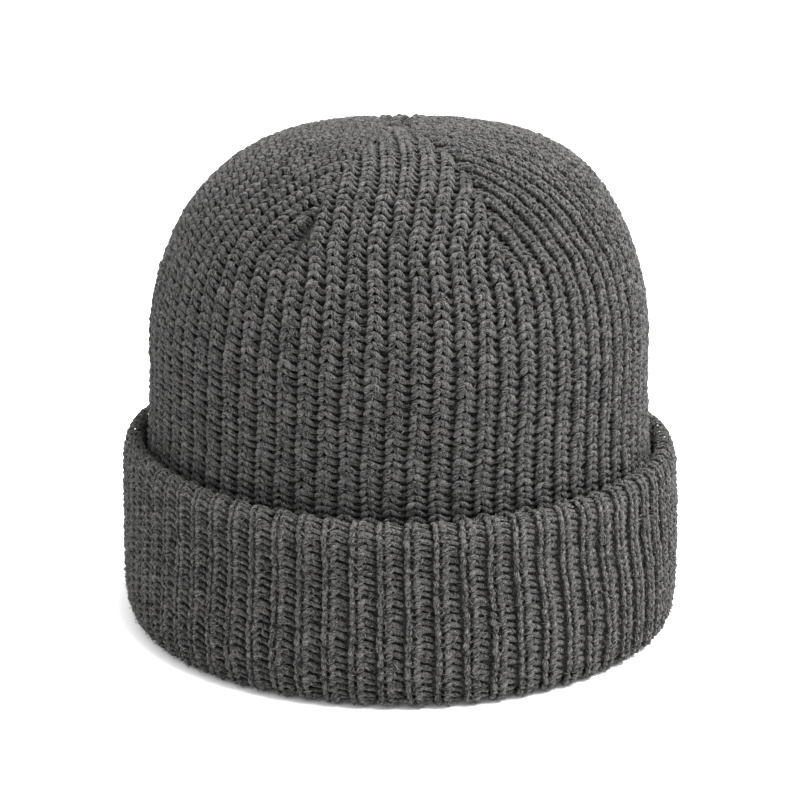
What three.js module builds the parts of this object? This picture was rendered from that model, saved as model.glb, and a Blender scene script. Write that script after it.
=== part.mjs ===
// A cuffed beanie in chunky rib knit: a hollow crown whose top is drawn in by four darts, and a
// turned-up double cuff with a rounded rim. Millimetres, +Z up, the front faces -Y. The origin is
// in the middle of the hat's mouth, on the surface that the cuff rests on.
import * as THREE from "three";
import { mergeVertices } from "three/addons/utils/BufferGeometryUtils.js";

// Ribs of the knit, the same wales in the crown and the cuff
const RIB_COUNT = 76;
const FRONT_GORE_RIBS = 11;
const RIB_STEP = (2 * Math.PI) / RIB_COUNT;
const RIB_TURN = THREE.MathUtils.degToRad(-1.05);
const CREST_HALF = 0.27;
const VALLEY = 0.5;

// The cuff shows the knit's other face, so its ribs stand in line with the crown's valleys
const CUFF_RIB_SHIFT = 0.5;
const CUFF_TURN = THREE.MathUtils.degToRad(0.4);
const CUFF_FRONT_SPREAD = 0.1;

// Crown
const DOME_START = 94.6;
const APEX_HEIGHT = 164.4;
const DOME_RADIUS = 83.5;
const DOME_FULLNESS = 0.578;
const DOME_RISE = 1.148;
const SKIRT_HEIGHT = 35;
const SKIRT_RADIUS = 87.5;
const WALL = 4.5;
const CROWN_RIB_DEPTH = 2;
const CROWN_DEPTH_RATIO = 1.05;
const APEX_DIP = 1.2;

// Darts: from this radius inwards the ribs keep their pitch and end on a dart
const DART_RADIUS = 75;
const DART_DEPTH = 2.6;
const SEAM_CLEARANCE = 0.18;

// Cuff
const CUFF_DEPTH_RATIO = 1.08;
const FOOT_HEIGHT = 5.2;
const RATIO_BLEND_LOW = 8;
const RATIO_BLEND_HIGH = 60;
const GAP = 0.4;

// How far round from the front each front dart lies, by the distance from the crown's axis
const DART_PATH = [
  { radius: 0, degrees: 12 },
  { radius: 15, degrees: 14.5 },
  { radius: 30, degrees: 19 },
  { radius: 45, degrees: 21 },
  { radius: 60, degrees: 23.5 },
  { radius: DART_RADIUS, degrees: THREE.MathUtils.radToDeg((FRONT_GORE_RIBS / 2) * RIB_STEP) },
];

// How far the crown's rings sit towards +X: the worn-in top is fuller on that side
const CROWN_LEAN = [
  { height: 36, shift: 0 },
  { height: 60, shift: -0.5 },
  { height: 100, shift: -0.3 },
  { height: 135, shift: 0.4 },
  { height: 152, shift: 1.8 },
  { height: 160, shift: 2.4 },
  { height: 163.6, shift: 1 },
  { height: 164.4, shift: -0.8 },
];

// Rows of the crown's outer face: upright part by height, then the dome by distance from the axis
const SKIRT_ROWS = [FOOT_HEIGHT + GAP, 35, 57, 76];
const DOME_ROWS = [83.5, 80.5, 75, 69, 63, 57, 51, 45, 39, 33, 27, 21, 15, 9];

// Rows of the crown's lining side, with the number of points round each
const INNER_ROWS = [
  { height: FOOT_HEIGHT + GAP, points: 76 },
  { height: 35, points: 76 },
  { height: 60, points: 76 },
  { radius: 83.5, points: 76 },
  { radius: 79, points: 76 },
  { radius: 71, points: 64 },
  { radius: 61, points: 56 },
  { radius: 49, points: 44 },
  { radius: 35, points: 32 },
  { radius: 19, points: 20 },
];

// The cuff's section, up the outside, over the rim and down the inside
const CUFF_SECTION = [
  { radius: 84.4, height: 0, ribDepth: 0, shift: 0.4, ribbed: false },
  { radius: 90.8, height: 0, ribDepth: 0, shift: 0.8, ribbed: false },
  { radius: 93.4, height: 3.4, ribDepth: 1.0, shift: 0.6, ribbed: true },
  { radius: 94.4, height: 12, ribDepth: 1.3, shift: 0.2, ribbed: true },
  { radius: 94.6, height: 34, ribDepth: 1.3, shift: 0, ribbed: true },
  { radius: 93.9, height: 49, ribDepth: 1.5, shift: -0.2, ribbed: true },
  { radius: 92.3, height: 55, ribDepth: 1.6, shift: -0.2, ribbed: true },
  { radius: 90.2, height: 57, ribDepth: 1.6, shift: -0.2, ribbed: true },
  { radius: 88.2, height: 56.2, ribDepth: 0.3, shift: -0.2, ribbed: false },
  { radius: 87.2, height: 53, ribDepth: 0, shift: -0.2, ribbed: false },
  { radius: 88.2, height: 34, ribDepth: 0, shift: 0, ribbed: false },
  { radius: 88, height: FOOT_HEIGHT + GAP, ribDepth: 0, shift: 0, ribbed: false },
  { radius: 87.2, height: FOOT_HEIGHT, ribDepth: 0, shift: 0, ribbed: false },
  { radius: 83.6, height: FOOT_HEIGHT - 0.4, ribDepth: 0, shift: 0, ribbed: false },
  { radius: 82.8, height: 2.4, ribDepth: 0, shift: 0.2, ribbed: false },
];

// The cuff stands higher over the ears than at the front, and highest on the wearer's right
const RIM_RISE = { from: 12, to: 57, front: 0.8, right: 5, left: 2.2, fullness: 1.3 };

const KNIT = { color: "#4a4947", roughness: 0.95, metalness: 0 };

// A value between the rows of a table, by the named column
function fromTable(table, column, at, wanted) {
  const above = table.findIndex((row) => row[column] >= at);
  if (above === 0) return table[0][wanted];
  if (above < 0) return table[table.length - 1][wanted];
  const low = table[above - 1];
  const high = table[above];
  return THREE.MathUtils.mapLinear(at, low[column], high[column], low[wanted], high[wanted]);
}

// Height of the dome's crests at a distance from the axis
function domeHeight(radius) {
  const share = Math.min(1, radius / DOME_RADIUS);
  const turn = Math.acos(share ** (1 / DOME_FULLNESS));
  return DOME_START + (APEX_HEIGHT - DOME_START) * Math.sin(turn) ** DOME_RISE;
}

// How steeply the dome falls outwards at a distance from the axis
function domeSlope(radius) {
  const outer = Math.min(radius + 0.5, DOME_RADIUS);
  const inner = radius - 0.5;
  return (domeHeight(inner) - domeHeight(outer)) / (outer - inner);
}

// Radius of the upright part at a height: it widens a little down to the cuff
function skirtRadius(height) {
  const drop = (DOME_START - height) / (DOME_START - SKIRT_HEIGHT);
  const share = THREE.MathUtils.clamp(drop, 0, 1);
  return DOME_RADIUS + (SKIRT_RADIUS - DOME_RADIUS) * share ** 2;
}

// Depth over width of the crown at a height: inside the cuff it takes the cuff's plan
function crownRatio(height) {
  const share = THREE.MathUtils.smoothstep(height, RATIO_BLEND_LOW, RATIO_BLEND_HIGH);
  return THREE.MathUtils.lerp(CUFF_DEPTH_RATIO, CROWN_DEPTH_RATIO, share);
}

// A ring of the crown's outer face with the direction that points out of the wall there
function crownLevel({ height, radius }) {
  const onDome = radius !== undefined;
  const ringRadius = onDome ? radius : skirtRadius(height);
  const ringHeight = onDome ? domeHeight(radius) : height;
  const outward = onDome ? new THREE.Vector2(domeSlope(radius), 1).normalize() : new THREE.Vector2(1, 0);
  return {
    radius: ringRadius,
    height: ringHeight,
    outward,
    ratio: crownRatio(ringHeight),
    shift: fromTable(CROWN_LEAN, "height", ringHeight, "shift"),
  };
}

// A point on a ring, set into the wall by an inset; azimuth 0 is the front, growing towards +X
function ringPoint(level, azimuth, inset) {
  const radius = level.radius - inset * level.outward.x;
  return new THREE.Vector3(
    level.shift + radius * Math.sin(azimuth),
    -level.ratio * radius * Math.cos(azimuth),
    level.height - inset * level.outward.y,
  );
}

// Adds the faces between two rows of keyed points; a point whose key is missing in the other
// row is joined to the last one passed there, so a rib that ends runs out on a dart.
function joinRows(triangles, lower, upper) {
  let low = 0;
  let up = 0;
  const keyAfter = (row, index) => (index + 1 < row.length ? row[index + 1].key : Infinity);
  while (low + 1 < lower.length || up + 1 < upper.length) {
    const nextLow = keyAfter(lower, low);
    const nextUp = keyAfter(upper, up);
    if (nextLow <= nextUp) {
      triangles.push(lower[low].point, lower[low + 1].point, upper[up].point);
      low += 1;
    }
    if (nextUp <= nextLow) {
      triangles.push(lower[low].point, upper[up + 1].point, upper[up].point);
      up += 1;
    }
  }
}

// A closed body from its triangles' corners
function bodyOf(name, triangles) {
  const soup = new THREE.BufferGeometry().setFromPoints(triangles);
  const geometry = mergeVertices(soup, 1e-3);
  geometry.computeVertexNormals();
  const mesh = new THREE.Mesh(geometry, new THREE.MeshStandardMaterial(KNIT));
  mesh.name = name;
  return mesh;
}

const SIDE_GORE_RIBS = RIB_COUNT / 2 - FRONT_GORE_RIBS;
const FIRST_SEAM = RIB_TURN - (FRONT_GORE_RIBS / 2) * RIB_STEP;
const GORES = [
  { centre: 0, side: false, ribs: FRONT_GORE_RIBS },
  { centre: Math.PI / 2, side: true, ribs: SIDE_GORE_RIBS },
  { centre: Math.PI, side: false, ribs: FRONT_GORE_RIBS },
  { centre: (3 * Math.PI) / 2, side: true, ribs: SIDE_GORE_RIBS },
];
const RIB_POINTS = [
  { offset: -CREST_HALF, onCrest: true },
  { offset: CREST_HALF, onCrest: true },
  { offset: VALLEY, onCrest: false },
];
const SEAM_KEY = 1000;

// The points across one gore on one ring: seam, ribs from side to side, seam
function goreRow(gore, level, onDome) {
  const inside = onDome && level.radius < DART_RADIUS;
  const dartAngle = THREE.MathUtils.degToRad(fromTable(DART_PATH, "radius", level.radius, "degrees"));
  const frontHalf = inside ? dartAngle : (FRONT_GORE_RIBS / 2) * RIB_STEP;
  const half = gore.side ? Math.PI / 2 - frontHalf : frontHalf;
  const step = inside ? (RIB_STEP * DART_RADIUS) / level.radius : RIB_STEP;
  const centre = gore.centre + RIB_TURN;
  const seamInset = inside ? DART_DEPTH : CROWN_RIB_DEPTH;
  const row = [{ key: -SEAM_KEY, point: ringPoint(level, centre - half, seamInset) }];
  const outermost = (gore.ribs - 1) / 2;
  for (let rib = -outermost - 1; rib <= outermost; rib += 1) {
    RIB_POINTS.forEach(({ offset, onCrest }, order) => {
      const azimuth = (rib + offset) * step;
      if (Math.abs(azimuth) < half - SEAM_CLEARANCE * step) {
        const key = rib * RIB_POINTS.length + order;
        const inset = onCrest ? 0 : CROWN_RIB_DEPTH;
        row.push({ key, point: ringPoint(level, centre + azimuth, inset) });
      }
    });
  }
  row.push({ key: SEAM_KEY, point: ringPoint(level, centre + half, seamInset) });
  return row;
}

// A row of keyed points read as one loop, keyed by how far round each point stands
function loopByAngle(points, level) {
  const turned = points.map((point) => {
    const azimuth = Math.atan2(point.x - level.shift, -point.y / level.ratio);
    const round = THREE.MathUtils.euclideanModulo(azimuth - FIRST_SEAM + 1e-6, 2 * Math.PI);
    return { key: round, point };
  });
  return [...turned, { key: 2 * Math.PI + 1e-6, point: points[0] }];
}

// A plain ring of the crown's inner face, from the first seam round
function innerRing({ height, radius, points }) {
  const level = crownLevel({ height, radius });
  const ring = [];
  for (let index = 0; index <= points; index += 1) {
    const turn = (2 * Math.PI * (index % points)) / points;
    const key = index === points ? 2 * Math.PI + 1e-6 : turn + 1e-6;
    ring.push({ key, point: ringPoint(level, FIRST_SEAM + turn, WALL) });
  }
  return ring;
}

function buildCrown() {
  const triangles = [];
  const levels = [
    ...SKIRT_ROWS.map((height) => ({ level: crownLevel({ height }), onDome: false })),
    ...DOME_ROWS.map((radius) => ({ level: crownLevel({ radius }), onDome: true })),
  ];
  const apexShift = fromTable(CROWN_LEAN, "height", APEX_HEIGHT, "shift");
  const apex = new THREE.Vector3(apexShift, 0, APEX_HEIGHT - APEX_DIP);
  for (const gore of GORES) {
    const rows = levels.map(({ level, onDome }) => goreRow(gore, level, onDome));
    rows.slice(1).forEach((row, index) => joinRows(triangles, rows[index], row));
    joinRows(triangles, rows[rows.length - 1], [{ key: 0, point: apex }]);
  }
  const inner = INNER_ROWS.map(innerRing);
  inner.slice(1).forEach((ring, index) => joinRows(triangles, ring, inner[index]));
  const innerApex = apex.clone().setZ(APEX_HEIGHT - WALL - APEX_DIP);
  joinRows(triangles, [{ key: 0, point: innerApex }], inner[inner.length - 1]);
  const hem = levels[0].level;
  const hemRows = GORES.map((gore) => goreRow(gore, hem, false).slice(0, -1));
  const hemPoints = hemRows.flat().map(({ point }) => point);
  joinRows(triangles, inner[0], loopByAngle(hemPoints, hem));
  return bodyOf("crown", triangles);
}

// Ribs of the cuff stand wider apart at the front and back, where it is pulled over the crown
function cuffAzimuth(ribs) {
  const even = (ribs + CUFF_RIB_SHIFT) * RIB_STEP;
  return CUFF_TURN + even + (CUFF_FRONT_SPREAD / 2) * Math.sin(2 * even);
}

// How much higher than its section the cuff stands at an azimuth
function rimRise(height, azimuth) {
  const share = THREE.MathUtils.clamp(
    (height - RIM_RISE.from) / (RIM_RISE.to - RIM_RISE.from),
    0,
    1,
  );
  const side = Math.sin(azimuth);
  const most = side < 0 ? RIM_RISE.right : RIM_RISE.left;
  return share * (RIM_RISE.front + most * Math.abs(side) ** RIM_RISE.fullness);
}

// One loop of the cuff's section, either ribbed or plain
function cuffRow({ radius, height, ribDepth, shift, ribbed }) {
  const level = { radius, height, shift, ratio: CUFF_DEPTH_RATIO, outward: new THREE.Vector2(1, 0) };
  const columns = ribbed ? RIB_POINTS : RIB_POINTS.slice(0, 1);
  const row = [];
  for (let rib = 0; rib <= RIB_COUNT; rib += 1) {
    for (const { offset, onCrest } of rib < RIB_COUNT ? columns : RIB_POINTS.slice(0, 1)) {
      const inset = onCrest ? 0 : ribDepth;
      const azimuth = cuffAzimuth((rib % RIB_COUNT) + offset);
      const raised = { ...level, height: height + rimRise(height, azimuth) };
      row.push({ key: rib + offset, point: ringPoint(raised, azimuth, inset) });
    }
  }
  return row;
}

function buildCuff() {
  const triangles = [];
  const rows = CUFF_SECTION.map(cuffRow);
  rows.forEach((row, index) => joinRows(triangles, row, rows[(index + 1) % rows.length]));
  return bodyOf("cuff", triangles);
}

const beanie = new THREE.Group();
beanie.add(buildCrown(), buildCuff());
export default beanie;
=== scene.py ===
"""Looks of a cuffed beanie in chunky rib knit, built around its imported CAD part.

Every stitch that shows is a short arched tube of yarn, laid over the same crown and cuff forms as
the CAD solids. Cloth sizes are in millimetres and meshes are written in metres. +Z is up and the
front faces -Y. An azimuth of 0 is the front, and it grows towards +X, the wearer's left.
"""

import logging
import math
from collections.abc import Callable
from dataclasses import dataclass, field, replace
from enum import Enum
from functools import cached_property, partial

import bpy
import numpy as np
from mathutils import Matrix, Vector
from numpy.typing import NDArray


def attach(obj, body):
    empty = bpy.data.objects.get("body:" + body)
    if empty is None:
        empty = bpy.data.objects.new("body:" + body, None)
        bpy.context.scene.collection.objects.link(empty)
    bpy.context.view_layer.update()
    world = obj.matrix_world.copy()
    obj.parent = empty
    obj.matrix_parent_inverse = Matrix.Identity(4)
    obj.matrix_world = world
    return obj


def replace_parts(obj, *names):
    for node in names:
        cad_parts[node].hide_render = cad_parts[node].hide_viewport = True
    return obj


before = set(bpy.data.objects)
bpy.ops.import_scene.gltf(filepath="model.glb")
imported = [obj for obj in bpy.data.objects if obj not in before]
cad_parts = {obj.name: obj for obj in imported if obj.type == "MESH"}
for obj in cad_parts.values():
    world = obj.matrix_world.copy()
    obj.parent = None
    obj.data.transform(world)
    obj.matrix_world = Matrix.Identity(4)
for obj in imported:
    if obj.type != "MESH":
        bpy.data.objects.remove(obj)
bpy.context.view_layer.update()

Values = NDArray[np.float64]
Indices = NDArray[np.int64]
Mapping = Callable[[Values, Values, Values], Values]
Sinking = Callable[[Values, Values], Values]
Colour = tuple[float, float, float]
Place = tuple[float, float, float]
Span = tuple[float, float]
Pairs = tuple[Span, ...]
Triples = tuple[Place, ...]

LOG = logging.getLogger("beanie")
MM = 0.001
SEED = 76

# The knit: the same wales in the crown and the cuff, as in the CAD solids
RIB_COUNT = 76
RIB_STEP = math.tau / RIB_COUNT
RIB_TURN = math.radians(-1.05)
GROOVE_PLACE = 0.46
FRONT_GORE_RIBS = 11
SIDE_GORE_RIBS = RIB_COUNT // 2 - FRONT_GORE_RIBS

# How far along its pattern the yarn of a strand or a fibre may start, in millimetres
STRAND_START = 40.0
FIBRE_START = 60.0
LIGHTEST_FIBRE = 2.4

# Where a tube's wall and its two ends lie in the tube's square of the map, and a sheet's margin
WALL_MARGIN = 0.05
WALL_SIZE = (0.75, 0.9)
END_ACROSS = 0.9
END_HEIGHTS = (0.3, 0.7)
END_RADIUS = 0.05
SHEET_MARGIN = 0.01

# A table is read no further than to just before its last entry
BEFORE_LAST = 1.001


class Gore(Enum):
    """The four panels of the crown between its darts, by the azimuth of their middle."""

    FRONT = 0.0
    LEFT = math.pi / 2
    BACK = math.pi
    RIGHT = 3 * math.pi / 2

    @property
    def side(self) -> bool:
        """Whether this is one of the two wide gores over the ears."""
        return self in (Gore.LEFT, Gore.RIGHT)

    @property
    def ribs(self) -> int:
        """How many ribs the gore has below the darts."""
        return SIDE_GORE_RIBS if self.side else FRONT_GORE_RIBS


def ease(values: Values, start: float, end: float) -> Values:
    """A smooth step from 0 at start to 1 at end; start may be the larger."""
    share = np.clip((values - start) / (end - start), 0.0, 1.0)
    return share * share * (3.0 - 2.0 * share)


def rounded_line(points: Values, per_span: int) -> Values:
    """A smooth curve through points.

    Args:
        points: the points that the curve passes through, one a row.
        per_span: how many steps the curve takes from one point to the next.

    Returns:
        The curve's points, one a row.
    """
    padded = np.vstack([2 * points[0] - points[1], points, 2 * points[-1] - points[-2]])
    share = np.linspace(0.0, 1.0, per_span, endpoint=False)[:, None]
    spans = []
    for before, start, end, after in zip(padded, padded[1:], padded[2:], padded[3:]):
        spans.append(
            start
            + share * (end - before) / 2
            + share**2 * (2 * before - 5 * start + 4 * end - after) / 2
            + share**3 * (3 * start - before - 3 * end + after) / 2
        )
    return np.vstack([*spans, points[-1:]])


@dataclass(frozen=True)
class Cut:
    """Where the cloth's face is at some courses.

    Attributes:
        radius: distance from the hat's axis.
        height: height over the floor.
        shift: how far the ring sits towards +X.
        out: sideways part of the direction out of the cloth.
        up: upright part of that direction.
    """

    radius: Values
    height: Values
    shift: Values
    out: Values
    up: Values


@dataclass(frozen=True)
class Section:
    """The cloth's face in an upright cut, as a dense line from its first course to its last.

    Attributes:
        radius: distance of each point from the hat's axis.
        height: height of each point.
        shift: how far the ring through each point sits towards +X.
        pitch: height of a course of stitches at each point.
    """

    radius: Values
    height: Values
    shift: Values
    pitch: Values

    @cached_property
    def course(self) -> Values:
        """The course that each point lies on, counted from the line's start."""
        steps = np.hypot(np.diff(self.radius), np.diff(self.height))
        middle = (self.pitch[1:] + self.pitch[:-1]) / 2
        return np.concatenate([[0.0], np.cumsum(steps / middle)])

    @cached_property
    def outward(self) -> tuple[Values, Values]:
        """The sideways and upright parts of the direction out of the cloth at each point."""
        run = np.gradient(self.radius, self.course)
        rise = np.gradient(self.height, self.course)
        length = np.hypot(run, rise)
        return rise / length, -run / length

    def at(self, course: Values) -> Cut:
        """Reads the line at some courses, given as numbers that need not be whole."""
        rows = (self.radius, self.height, self.shift, *self.outward)
        return Cut(*(np.interp(course, self.course, row) for row in rows))

    def course_at_height(self, height: float) -> float:
        """The course at a height, for a line that only climbs."""
        return float(np.interp(height, self.height, self.course))


def ring_points(
    cut: Cut, azimuth: Values, lift: Values | float, ratio: Values | float
) -> Values:
    """Points of an oval ring.

    Args:
        cut: where the cloth's face is.
        azimuth: how far round each point is.
        lift: how far each point stands out of the cloth's face.
        ratio: depth over width of the ring.

    Returns:
        The points, with x, y and z along the last axis.
    """
    radius = cut.radius + lift * cut.out
    return np.stack(
        [
            cut.shift + radius * np.sin(azimuth),
            -ratio * radius * np.cos(azimuth),
            cut.height + lift * cut.up,
        ],
        axis=-1,
    )


@dataclass(frozen=True)
class CrownForm:
    """The crown's outer face: an upright part, and a dome that four darts draw in."""

    hem_height: float = 5.6
    dome_start: float = 94.6
    apex_height: float = 164.4
    dome_radius: float = 83.5
    dome_fullness: float = 0.578
    dome_rise: float = 1.148
    skirt_height: float = 35.0
    skirt_radius: float = 87.5
    depth_ratio: float = 1.05
    cuff_depth_ratio: float = 1.08
    ratio_blend: Span = (8.0, 60.0)
    apex_dip: float = 1.2
    apex_dip_radius: float = 9.0
    skirt_step: float = 0.5
    dome_steps: int = 600
    dome_end: float = 0.4999 * math.pi
    least_radius: float = 1.5
    dart_radius: float = 75.0
    dart_depth: float = 3.0
    dart_start: Span = (76.0, 71.0)
    dart_end: Span = (2.0, 16.0)
    dart_reach: Span = (0.5, -0.3)
    dart_overreach: float = 1.4
    dart_sharpness: float = 1.5
    dart_width: float = 3.0
    backing_dart_depth: float = 1.2
    deepest_yarn: float = -4.4
    slit_depth: float = 7.5
    slit_radius: float = 70.5
    slit_length: float = 6.0
    farthest_rib: int = 14
    climb_steps: int = 4
    dart_path: Pairs = (
        (0.0, 12.0), (15.0, 14.5), (30.0, 19.0), (45.0, 21.0), (60.0, 23.5), (75.0, 26.05)
    )
    lean: Pairs = (
        (36.0, 0.0), (60.0, -0.5), (100.0, -0.3), (135.0, 0.4),
        (152.0, 1.8), (160.0, 2.4), (163.6, 1.0), (164.4, -0.8),
    )
    course_pitches: Pairs = ((0.0, 2.1), (70.0, 2.17), (95.0, 2.43), (120.0, 2.75), (142.0, 2.5))
    narrowings: Pairs = ((140.0, 0.12), (150.0, 0.14))
    drift: Triples = (
        (62.0, 0.0, 0.0), (70.0, 0.04, 0.0), (79.0, 0.08, 0.08),
        (88.0, 0.14, 0.1), (97.0, 0.18, 0.1), (112.0, 0.19, 0.15),
        (120.0, 0.18, 0.24), (127.0, 0.1, 0.12), (135.0, 0.0, 0.0),
    )

    @cached_property
    def section(self) -> Section:
        """The crown's face from its hem to just short of its apex."""
        skirt = np.arange(self.hem_height, self.dome_start, self.skirt_step)
        drop = np.clip((self.dome_start - skirt) / (self.dome_start - self.skirt_height), 0, 1)
        skirt_radii = self.dome_radius + (self.skirt_radius - self.dome_radius) * drop**2
        turn = np.linspace(0.0, self.dome_end, self.dome_steps)
        dome_radii = self.dome_radius * np.cos(turn) ** self.dome_fullness
        rise = self.apex_height - self.dome_start
        dome = self.dome_start + rise * np.sin(turn) ** self.dome_rise
        radius = np.concatenate([skirt_radii, dome_radii])
        height = np.concatenate([skirt, dome])
        lean_heights, shifts = zip(*self.lean)
        pitch_heights, pitches = zip(*self.course_pitches)
        dip = self.apex_dip * np.clip(1 - radius / self.apex_dip_radius, 0, 1)
        return Section(
            radius=radius,
            height=height - dip,
            shift=np.interp(height, lean_heights, shifts),
            pitch=np.interp(height, pitch_heights, pitches),
        )

    def half_angle(self, side: bool, radius: Values) -> Values:
        """How far a gore reaches to each side of its middle on a ring, in radians."""
        radii, degrees = zip(*self.dart_path)
        below_darts = FRONT_GORE_RIBS / 2 * RIB_STEP
        on_dart = np.radians(np.interp(radius, radii, degrees))
        front = np.where(radius < self.dart_radius, on_dart, below_darts)
        return math.pi / 2 - front if side else front

    def rib_step(self, radius: Values) -> Values:
        """The azimuth from rib to rib: above the start of the darts their pitch stays."""
        least = np.maximum(radius, self.least_radius)
        return RIB_STEP * np.maximum(1.0, self.dart_radius / least)

    @cached_property
    def climb(self) -> Values:
        """The course of the section that each rib is level with after each course of its own.

        Ribs run side by side over the dome, so those far from a gore's middle climb aslant and
        cover more cloth than the section does between the same two rings.
        """
        section = self.section
        ribs = np.arange(self.farthest_rib + 1)[:, None]
        slope = np.gradient(section.radius, section.course * section.pitch)
        slant = ribs * self.rib_step(section.radius) * np.minimum(np.abs(slope), 1.0)
        slant = np.where(section.radius < self.dart_radius, slant, 0.0)
        longer = np.hypot(1.0, slant)
        steps = np.diff(section.course) * (longer[:, 1:] + longer[:, :-1]) / 2
        walked = np.concatenate([0.0 * ribs, np.cumsum(steps, axis=1)], axis=1)
        marks = np.arange(0, walked.max(), 1 / self.climb_steps)
        return np.stack([np.interp(marks, row, section.course) for row in walked])

    def level(self, ribs: Values, course: Values) -> Values:
        """Reads the climb at ribs and courses that need not be whole."""
        rows, columns = self.climb.shape
        row = np.clip(np.abs(ribs), 0, rows - BEFORE_LAST)
        column = np.clip(course * self.climb_steps, 0, columns - BEFORE_LAST)
        row, column = np.broadcast_arrays(row, column)
        low, left = row.astype(int), column.astype(int)
        up, right = row - low, column - left
        near = self.climb[low, left] * (1 - right) + self.climb[low, left + 1] * right
        far = self.climb[low + 1, left] * (1 - right) + self.climb[low + 1, left + 1] * right
        return near * (1 - up) + far * up

    def room(self, gore: Gore, ribs: Values, course: Values) -> Values:
        """How many ribs' widths are left between a place and the gore's edge."""
        level = self.level(ribs, course)
        radius = self.section.at(level).radius
        reach = self.half_angle(gore.side, radius) / self.rib_step(radius)
        return reach - np.abs(self.jogged(gore, ribs, level))

    def jogged(self, gore: Gore, ribs: Values, level: Values) -> Values:
        """Ribs moved aside at the heights where the front and the back get narrower."""
        if not gore.side:
            for height, shift in self.narrowings:
                jog = self.section.course_at_height(height)
                ribs = ribs + shift * ease(level, jog, jog + 1.0)
        return ribs

    def near_dart(self, gore: Gore, ribs: Values, radius: Values) -> Values:
        """How close places are to the gore's edge: 0 half a rib away, and 1 just past it."""
        room = self.half_angle(gore.side, radius) / self.rib_step(radius) - np.abs(ribs)
        near = (self.dart_reach[0] - room) / np.ptp(self.dart_reach)
        return self.drawn(radius) * np.clip(near, 0, self.dart_overreach) ** self.dart_sharpness

    def slit(self, gore: Gore, ribs: Values, course: Values) -> Values:
        """How deep the cloth falls away where the front dart on the wearer's right stands open."""
        radius = self.section.at(self.level(ribs, course)).radius
        side = {Gore.FRONT: -1, Gore.RIGHT: 1}.get(gore, 0)
        along = np.exp(-(((radius - self.slit_radius) / self.slit_length) ** 2))
        open_there = np.where(ribs * side > 0, along, 0.0)
        # The sunk yarn counts as deep, so the finish paints it dark: painted shadow in the open dart
        return self.slit_depth * open_there * self.near_dart(gore, ribs, radius)

    def ratio(self, height: Values) -> Values:
        """Depth over width at a height: inside the cuff the crown takes the cuff's plan."""
        share = ease(height, *self.ratio_blend)
        return self.cuff_depth_ratio + share * (self.depth_ratio - self.cuff_depth_ratio)

    def place(self, gore: Gore, ribs: Values, course: Values, lift: Values) -> Values:
        """Lays flat cloth on one gore, drawn together and sunk in along its darts.

        Args:
            gore: the gore that the cloth belongs to.
            ribs: ribs from the gore's middle, growing with the azimuth.
            course: courses from the hem, along the rib.
            lift: how far each point stands out of the crown's face.

        Returns:
            The points on the hat, with x, y and z along the last axis.
        """
        level = self.level(ribs, course)
        cut = self.section.at(level)
        ribs = self.jogged(gore, ribs, level)
        sunk = lift - self.dart_depth * self.near_dart(gore, ribs, cut.radius)
        sunk = np.maximum(sunk, self.deepest_yarn)
        azimuth = gore.value + RIB_TURN + ribs * self.rib_step(cut.radius)
        heights, turns, shears = zip(*self.drift)
        turned = np.interp(cut.height, heights, turns)
        sheared = np.interp(cut.height, heights, shears) * np.sin(azimuth)
        azimuth = azimuth + RIB_STEP * (turned + sheared)
        return ring_points(cut, azimuth, sunk, self.ratio(cut.height))

    def drawn(self, radius: Values) -> Values:
        """How much of the darts' depth a ring has."""
        return ease(radius, *self.dart_start) * ease(radius, *self.dart_end)

    @staticmethod
    def turned(azimuth: Values) -> Values:
        """How far round azimuths are from the middle of the front or the back, the nearer one."""
        return np.mod(azimuth - RIB_TURN + math.pi / 2, math.pi) - math.pi / 2

    def from_dart(self, azimuth: Values, radius: Values) -> Values:
        """How close places are to a dart: 1 on it, and 0 some millimetres away."""
        away = np.abs(np.abs(self.turned(azimuth)) - self.half_angle(False, radius)) * radius
        return self.drawn(radius) * np.exp(-((away / self.dart_width) ** 2))

    def rib_at(self, azimuth: Values, radius: Values) -> Values:
        """The rib that an azimuth is on, counted from the middle of the gore that it is in."""
        turned = self.turned(azimuth)
        half = self.half_angle(False, radius)
        from_side = np.sign(turned) * (np.abs(turned) - math.pi / 2)
        return np.where(np.abs(turned) < half, turned, from_side) / self.rib_step(radius)

    def plain(self, azimuth: Values, course: Values, lift: Values | float) -> Values:
        """Points on or under the crown's face by azimuth, sunk in a little at the darts."""
        cut = self.section.at(course)
        sunk = lift - self.backing_dart_depth * self.from_dart(azimuth, cut.radius)
        return ring_points(cut, azimuth, sunk, self.ratio(cut.height))


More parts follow.
